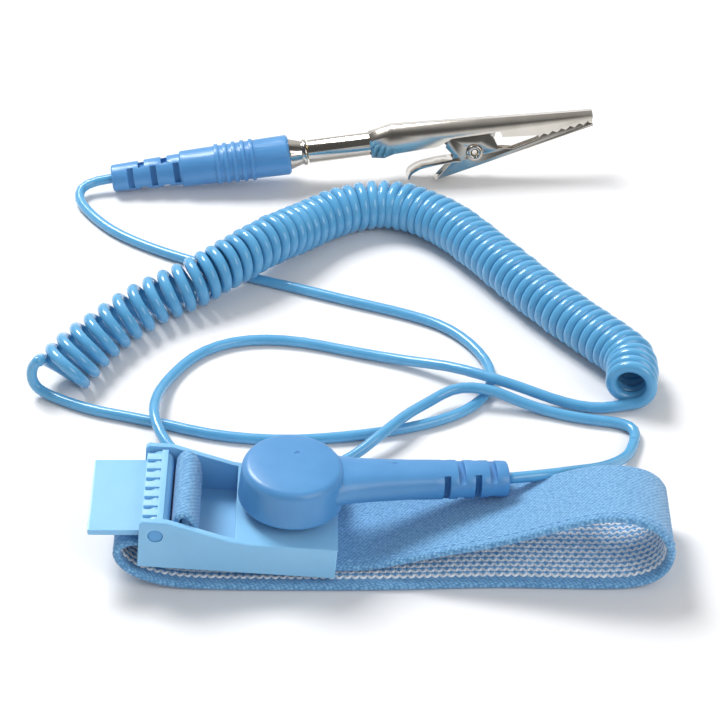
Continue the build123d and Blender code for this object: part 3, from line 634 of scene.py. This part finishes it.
def ribbon_edges(rows, spacing, width=BAND_WIDTH):
    """Evenly spaced pairs of points on a ribbon's near and far edge, in millimetres."""
    near = []
    far = []
    for x, near_height, far_height, near_y in rows:
        drop = near_height - far_height
        near.append((x, near_y, near_height))
        far.append((x, near_y + math.sqrt(width**2 - drop**2), far_height))
    near_line = curve_line(near, 16)
    far_line = curve_line(far, 16)
    near_lengths = line_lengths(near_line)
    far_lengths = line_lengths(far_line)
    count = int(near_lengths[-1] / spacing)
    pairs = []
    for step in range(count + 1):
        share = step / count
        a, _ = at_length(near_line, near_lengths, share * near_lengths[-1])
        b, _ = at_length(far_line, far_lengths, share * far_lengths[-1])
        pairs.append((a, b))
    return pairs


class Ribbon:
    """Middle surface of a ribbon, addressed by the length along it and the distance across it."""

    def __init__(self, rows, spacing=0.4, width=BAND_WIDTH):
        self.pairs = ribbon_edges(rows, spacing, width)
        self.width = width
        middles = [(a + b) / 2 for a, b in self.pairs]
        self.lengths = line_lengths(middles)
        self.length = self.lengths[-1]
        self.normals = []
        for index in range(len(middles)):
            before = middles[max(index - 1, 0)]
            after = middles[min(index + 1, len(middles) - 1)]
            along = (after - before).normalized()
            across = (self.pairs[index][1] - self.pairs[index][0]).normalized()
            self.normals.append(along.cross(across).normalized())

    def at(self, distance, across):
        """Point and outward normal; across runs from 0 at the near edge to the width."""
        step = distance / self.length * (len(self.pairs) - 1)
        low = min(int(step), len(self.pairs) - 2)
        share = step - low
        near = self.pairs[low][0].lerp(self.pairs[low + 1][0], share)
        far = self.pairs[low][1].lerp(self.pairs[low + 1][1], share)
        normal = self.normals[low].lerp(self.normals[low + 1], share).normalized()
        return near.lerp(far, across / self.width), normal


def ribbon_mesh(name, ribbon, thickness, made, along_step, across_step, relief):
    """Closed strip round the ribbon's middle surface; relief(length, across) raises the outer face."""
    rings = int(ribbon.length / along_step)
    columns = int(ribbon.width / across_step)
    half = thickness / 2
    # distance across, height and whether it lies on the outer face, round the strip's cut end
    section = []
    for column in range(columns + 1):
        section.append((half + (ribbon.width - 2 * half) * column / columns, half, True))
    for turn in (1, 2, 3):
        angle = math.pi * turn / 4
        section.append((ribbon.width - half + half * math.sin(angle), half * math.cos(angle), False))
    coarse = max(columns // 3, 4)
    for column in range(coarse + 1):
        share = 1 - column / coarse
        section.append((half + (ribbon.width - 2 * half) * share, -half, False))
    for turn in (1, 2, 3):
        angle = math.pi * turn / 4
        section.append((half - half * math.sin(angle), -half * math.cos(angle), False))
    vertices = []
    places = []
    for ring in range(rings + 1):
        distance = ribbon.length * ring / rings
        for across, height, outer in section:
            point, normal = ribbon.at(distance, across)
            raised = height + (relief(distance, across) if outer else 0)
            vertices.append((point + normal * raised) * MM)
            places.append((distance, across))
    piece = mesh_piece(name, vertices, tube_faces(0, rings + 1, len(section)), made)
    layer = piece.data.uv_layers.new(name="weave")
    for loop in piece.data.loops:
        distance, across = places[loop.vertex_index]
        layer.data[loop.index].uv = (distance / WEAVE_TILE, across / WEAVE_TILE)
    return piece


def knit_relief(distance, across):
    """Slanting ribs of the knitted outer face, in millimetres."""
    rib = math.sin(2 * math.pi * (across / 1.15 + distance / 2.6))
    loops = math.sin(2 * math.pi * (distance / 0.85 + across / 3.4))
    return 0.055 * rib * (0.65 + 0.35 * loops)


def fabric(name, colour_low, colour_high, patch_colour):
    """Elastic knit: light loops with dark gaps in soft patches, on the ribbon's own coordinates."""
    made = material(name, colour_high, 0.85)
    shader = made.node_tree.nodes["Principled BSDF"]
    shader.inputs["Sheen Weight"].default_value = 0.25
    place = node(made, "ShaderNodeTexCoord")
    stretch_map = node(made, "ShaderNodeMapping")
    stretch_map.inputs["Scale"].default_value = (1.0, 2.2, 1)
    stretch_map.inputs["Rotation"].default_value = (0, 0, 0.35)
    specks = node(made, "ShaderNodeTexVoronoi", Scale=26, Randomness=0.35)
    ramp = node(made, "ShaderNodeValToRGB")
    ramp.color_ramp.elements[0].position = 0.12
    ramp.color_ramp.elements[0].color = (*colour_high, 1)
    ramp.color_ramp.elements[1].position = 0.6
    ramp.color_ramp.elements[1].color = (*colour_low, 1)
    patches = node(made, "ShaderNodeTexNoise", Scale=14, Detail=5)
    # sockets 6 and 7 are the mix's two colours and output 2 is its colour
    mix = node(made, "ShaderNodeMix")
    mix.data_type = "RGBA"
    mix.inputs[7].default_value = (*patch_colour, 1)
    scale_down = node(made, "ShaderNodeMath")
    scale_down.operation = "MULTIPLY"
    scale_down.inputs[1].default_value = 0.55
    link(made, place, "UV", stretch_map, "Vector")
    link(made, stretch_map, "Vector", specks, "Vector")
    link(made, place, "UV", patches, "Vector")
    link(made, specks, "Distance", ramp, "Fac")
    link(made, patches, "Fac", scale_down, "Value")
    link(made, scale_down, 0, mix, 0)
    link(made, ramp, "Color", mix, 6)
    link(made, mix, 2, shader, "Base Color")
    bump = node(made, "ShaderNodeBump", Strength=0.5, Distance=0.00025)
    link(made, specks, "Distance", bump, "Height")
    link(made, bump, "Normal", shader, "Normal")
    return made


band_fabric = fabric("band_fabric", (0.05, 0.19, 0.42), (0.27, 0.56, 0.84), (0.17, 0.42, 0.70))
thread_pale = material("thread_pale", (0.85, 0.87, 0.90), 0.8)
tint_noise(thread_pale, (0.62, 0.70, 0.78), (0.97, 0.97, 0.98), 900)
bump_noise(thread_pale, 6000, 0.3)
thread_blue = material("thread_blue", (0.20, 0.44, 0.74), 0.8)
tint_noise(thread_blue, (0.12, 0.34, 0.64), (0.30, 0.56, 0.84), 900)
bump_noise(thread_blue, 6000, 0.3)

band = Ribbon(BAND_ROWS)
band_piece = ribbon_mesh("elastic_webbing", band, BAND_THICKNESS, band_fabric, 0.34, 0.3, knit_relief)
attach(band_piece, "wristband")
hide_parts("elastic_band")


# threads and stitches on the band, in millimetres
THREAD_SIDES = 6
THREAD_WAVE = 1.5
THREAD_SWING = 0.32
THREAD_START = 16
THREAD_STOP = band.length - 6
ROW_PITCH = 1.35
PHASE_STEP = 3.14
LOOK_AHEAD = 0.1
STITCH_PITCH = 1.7
STITCH_ACROSS = 1.7
STITCH_START = 20
STITCH_STOP = band.length - 12
STITCH_SHARE = 0.8
# share of a stitch's length, its radius and its height there
STITCH_PROFILE = (
    (0, 0.05, -0.1),
    (0.15, 0.17, 0.02),
    (0.5, 0.19, 0.08),
    (0.85, 0.17, 0.02),
    (1, 0.05, -0.1),
)


def sideways_at(ribbon, point, normal, distance, across):
    """Direction across a thread at a point, from the place where it is a little further on."""
    ahead, _ = ribbon.at(min(distance + LOOK_AHEAD, ribbon.length), across)
    along = (ahead - point).normalized()
    return along.cross(normal).normalized()


def band_detail(name, vertices, faces, made):
    """Mesh that lies on the band and moves with it."""
    piece = mesh_piece(name, vertices, faces, made)
    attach(piece, "wristband")
    return piece


def thread_rows(name, ribbon, rows, made, radius):
    """Wavy threads that run along a ribbon's inner face, one mesh for all rows."""
    vertices = []
    faces = []
    steps = int((THREAD_STOP - THREAD_START) / (THREAD_WAVE / 8))
    for index, across in enumerate(rows):
        faces_from = len(vertices)
        for step in range(steps + 1):
            distance = THREAD_START + (THREAD_STOP - THREAD_START) * step / steps
            phase = 2 * math.pi * distance / THREAD_WAVE + PHASE_STEP * index
            phase_ahead = phase + 2 * math.pi * LOOK_AHEAD / THREAD_WAVE
            point, normal = ribbon.at(distance, across + THREAD_SWING * math.sin(phase))
            across_ahead = across + THREAD_SWING * math.sin(phase_ahead)
            sideways = sideways_at(ribbon, point, normal, distance, across_ahead)
            centre = point - normal * (BAND_THICKNESS / 2)
            for corner in circle(centre, sideways, normal, radius, THREAD_SIDES):
                vertices.append(corner * MM)
        faces.extend(tube_faces(faces_from, steps + 1, THREAD_SIDES))
    return band_detail(name, vertices, faces, made)


# pale conductive threads on the inner face, with blue ones between them
INNER_ROWS = [2.55 + ROW_PITCH * row for row in range(12)]
BLUE_ROWS = [3.22 + ROW_PITCH * row for row in range(11)]
inner_threads = thread_rows("inner_threads", band, INNER_ROWS, thread_pale, 0.30)
inner_blue = thread_rows("inner_blue_threads", band, BLUE_ROWS, thread_blue, 0.22)


def stitch_line(name, ribbon, made):
    """Row of short sewing stitches along a ribbon's near edge, on its outer face."""
    vertices = []
    faces = []
    for index in range(int((STITCH_STOP - STITCH_START) / STITCH_PITCH)):
        faces_from = len(vertices)
        for share, radius, lift in STITCH_PROFILE:
            distance = STITCH_START + (index + STITCH_SHARE * share) * STITCH_PITCH
            point, normal = ribbon.at(distance, STITCH_ACROSS)
            sideways = sideways_at(ribbon, point, normal, distance, STITCH_ACROSS)
            centre = point + normal * (BAND_THICKNESS / 2 + lift)
            for corner in circle(centre, sideways, normal, radius, THREAD_SIDES):
                vertices.append(corner * MM)
        faces.extend(tube_faces(faces_from, len(STITCH_PROFILE), THREAD_SIDES))
    return band_detail(name, vertices, faces, made)


stitches = stitch_line("edge_stitches", band, thread_blue)

TAIL_WIDTH = 19.4
TAIL_THICKNESS = 1.3
tail = Ribbon(TAIL_ROWS, 0.2, TAIL_WIDTH)
tail_piece = ribbon_mesh("tail_fold", tail, TAIL_THICKNESS, band_fabric, 0.3, 0.3, knit_relief)
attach(tail_piece, "wristband")
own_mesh(tail_piece)
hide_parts("band_tail")

# ---------------------------------------------------------------- softened plastic and metal parts
record = frame["record"]
body_of = {}
for body_name, body_nodes in record["behaviour"]["bodies"].items():
    for member in body_nodes:
        body_of[member] = body_name


def softened(node_name, made, width, segments=3):
    """Copy of a CAD node with rounded edges, which stands for it."""
    source = NODES[node_name]
    mesh = bmesh.new()
    mesh.from_mesh(source.data)
    mesh.transform(source.matrix_world)
    bmesh.ops.remove_doubles(mesh, verts=mesh.verts, dist=2e-6)
    bmesh.ops.dissolve_limit(
        mesh,
        angle_limit=math.radians(1.5),
        verts=mesh.verts,
        edges=mesh.edges,
    )
    data = bpy.data.meshes.new(node_name + "_soft")
    mesh.to_mesh(data)
    mesh.free()
    piece = new_object(node_name + "_soft", data, made)
    for polygon in data.polygons:
        polygon.use_smooth = True
    bevel = piece.modifiers.new("edges", "BEVEL")
    bevel.width = width * MM
    bevel.segments = segments
    bevel.limit_method = "ANGLE"
    bevel.angle_limit = math.radians(32)
    bevel.use_clamp_overlap = True
    bevel.harden_normals = True
    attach(piece, body_of[node_name])
    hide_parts(node_name)


softened("buckle_frame", buckle_plastic, 0.5, 4)
softened("lever", buckle_plastic, 0.22)
softened("banana_handle", plug_plastic, 0.22)
softened("banana_ferrule", nickel, 0.12)


# ---------------------------------------------------------------- snap plug
BORE_RADIUS = 7.05
CAP_SHOULDER = 9.70
CAP_CORNER = 1.75
CAP_CORNER_HEIGHT = 8.45
CAP_RIM_HEIGHT = 10.28
CAP_CROWN = 0.42
RELIEF_SLOTS = (29.2, 32.1, 35.2, 38.2)
SIDE_SLOT_HALF = 0.65
TOP_SLOT_HALF = 0.7


def oval(matrix, x, width, height, centre, sides=48, power=2.3):
    """Ring of points of a rounded oval across the plug's arm."""
    ring = []
    for side in range(sides):
        angle = 2 * math.pi * side / sides
        right = math.cos(angle)
        up = math.sin(angle)
        y = width / 2 * math.copysign(abs(right) ** (2 / power), right)
        z = centre + height / 2 * math.copysign(abs(up) ** (2 / power), up)
        ring.append(matrix @ mm(x, y, z))
    return ring


def skin(name, rings, made):
    """Closed solid through rings of equal point count."""
    vertices = [point for ring in rings for point in ring]
    piece = mesh_piece(name, vertices, tube_faces(0, len(rings), len(rings[0])), made)
    mesh = bmesh.new()
    mesh.from_mesh(piece.data)
    bmesh.ops.recalc_face_normals(mesh, faces=mesh.faces)
    mesh.to_mesh(piece.data)
    mesh.free()
    return piece


def lathe(name, matrix, profile, made, sides=96):
    """Solid of revolution about the matrix's z axis; profile is (radius, height) in millimetres."""
    rings = []
    for radius, height in profile:
        ring = []
        for side in range(sides):
            angle = 2 * math.pi * side / sides
            ring.append(matrix @ mm(radius * math.cos(angle), radius * math.sin(angle), height))
        rings.append(ring)
    return skin(name, rings, made)


def combine(target, other, operation):
    """Boolean of two meshes, applied to the target; the other one is removed."""
    boolean = target.modifiers.new("combine", "BOOLEAN")
    boolean.operation = operation
    boolean.solver = "EXACT"
    boolean.object = other
    bpy.context.view_layer.update()
    depsgraph = bpy.context.evaluated_depsgraph_get()
    result = bpy.data.meshes.new_from_object(target.evaluated_get(depsgraph))
    target.modifiers.clear()
    old = target.data
    target.data = result
    bpy.data.meshes.remove(old)
    other_data = other.data
    bpy.data.objects.remove(other)
    bpy.data.meshes.remove(other_data)


def block(matrix, low, high):
    """Box between two corners of a local frame, in millimetres."""
    corners = []
    for x in (low[0], high[0]):
        for y in (low[1], high[1]):
            for z in (low[2], high[2]):
                corners.append(matrix @ mm(x, y, z))
    faces = [(0, 1, 3, 2), (4, 6, 7, 5), (0, 4, 5, 1), (2, 3, 7, 6), (0, 2, 6, 4), (1, 5, 7, 3)]
    return mesh_piece("block", corners, faces, plug_plastic, smooth=False)


def cap_profile():
    """Rounded cap, hollow at the bottom to leave room for the socket."""
    profile = [(BORE_RADIUS, 5.02), (BORE_RADIUS, 2.35), (7.25, 2.2)]
    profile += [(9.6, 2.2), (9.85, 2.27), (9.98, 2.45), (10.0, 2.75)]
    profile += [(9.86, 5.5), (9.74, 8.0)]
    for step in range(9):
        angle = math.radians(3 + 80 * step / 8)
        radius = CAP_SHOULDER - CAP_CORNER + CAP_CORNER * math.cos(angle)
        profile.append((radius, CAP_CORNER_HEIGHT + CAP_CORNER * math.sin(angle)))
    for radius in (7.0, 5.5, 4.0, 2.5, 1.2, 0.4):
        profile.append((radius, CAP_RIM_HEIGHT + CAP_CROWN * (1 - (radius / 8) ** 2)))
    return profile


cap = lathe("plug_body", PLUG, cap_profile(), plug_plastic)
# place along the arm, width, height and middle height of its oval sections
ARM_SECTIONS = [
    (5.5, 12.6, 7.0, 5.95),
    (8.0, 12.3, 6.9, 5.95),
    (9.4, 11.4, 6.8, 5.95),
    (10.6, 10.7, 6.75, 5.93),
    (13.0, 9.9, 6.7, 5.9),
    (17.0, 9.1, 6.65, 5.9),
    (22.0, 8.4, 6.5, 5.9),
    (27.0, 8.1, 6.6, 5.85),
    (29.2, 8.0, 6.55, 5.85),
    (31.0, 7.9, 6.5, 5.85),
    (34.0, 7.7, 6.4, 5.85),
    (38.0, 7.4, 6.25, 5.85),
    (40.6, 7.2, 6.1, 5.85),
    (41.1, 7.0, 5.9, 5.85),
    (41.3, 6.5, 5.4, 5.85),
]
arm = skin("arm", [oval(PLUG, *section) for section in ARM_SECTIONS], plug_plastic)
# slots of the strain relief, in turn through its two sides and through its top and bottom
for index, x in enumerate(RELIEF_SLOTS):
    for side in (-1, 1):
        if index % 2 == 0:
            near_y, far_y = sorted((side * 1.6, side * 6))
            low = (x - SIDE_SLOT_HALF, near_y, ARM_HEIGHT - 3.0)
            high = (x + SIDE_SLOT_HALF, far_y, ARM_HEIGHT + 2.7)
        else:
            low_z, high_z = sorted((ARM_HEIGHT + side * 1.5, ARM_HEIGHT + side * 5))
            low = (x - TOP_SLOT_HALF, -4.2, low_z)
            high = (x + TOP_SLOT_HALF, 4.2, high_z)
        combine(arm, block(PLUG, low, high), "DIFFERENCE")
combine(cap, arm, "UNION")
bore_frame = PLUG @ Matrix.Translation(mm(0, 0, -1))
bore = lathe("bore", bore_frame, [(BORE_RADIUS, 0), (BORE_RADIUS, 6.0)], plug_plastic)
combine(cap, bore, "DIFFERENCE")
for place_x, place_y, place_z, size in ((1.0, 2.6, 10.75, 0.55), (19.6, 0.9, 9.28, 0.5)):
    pit = lathe(
        "pit",
        PLUG @ Matrix.Translation(mm(place_x, place_y, place_z - 0.28)),
        [(size * 0.8, 0), (size, 0.2), (size, 1.0)],
        plug_plastic,
        32,
    )
    combine(cap, pit, "DIFFERENCE")
soften = cap.modifiers.new("edges", "BEVEL")
soften.width = 0.18 * MM
soften.segments = 2
soften.limit_method = "ANGLE"
soften.angle_limit = math.radians(40)
for polygon in cap.data.polygons:
    polygon.use_smooth = True
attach(cap, "snap_plug")
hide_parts("plug_overmould")

# ---------------------------------------------------------------- crocodile clip
softened("clip_upper_jaw", nickel, 0.12, 2)
softened("clip_lower_jaw", nickel, 0.1, 2)
softened("clip_rivet", nickel, 0.12, 2)
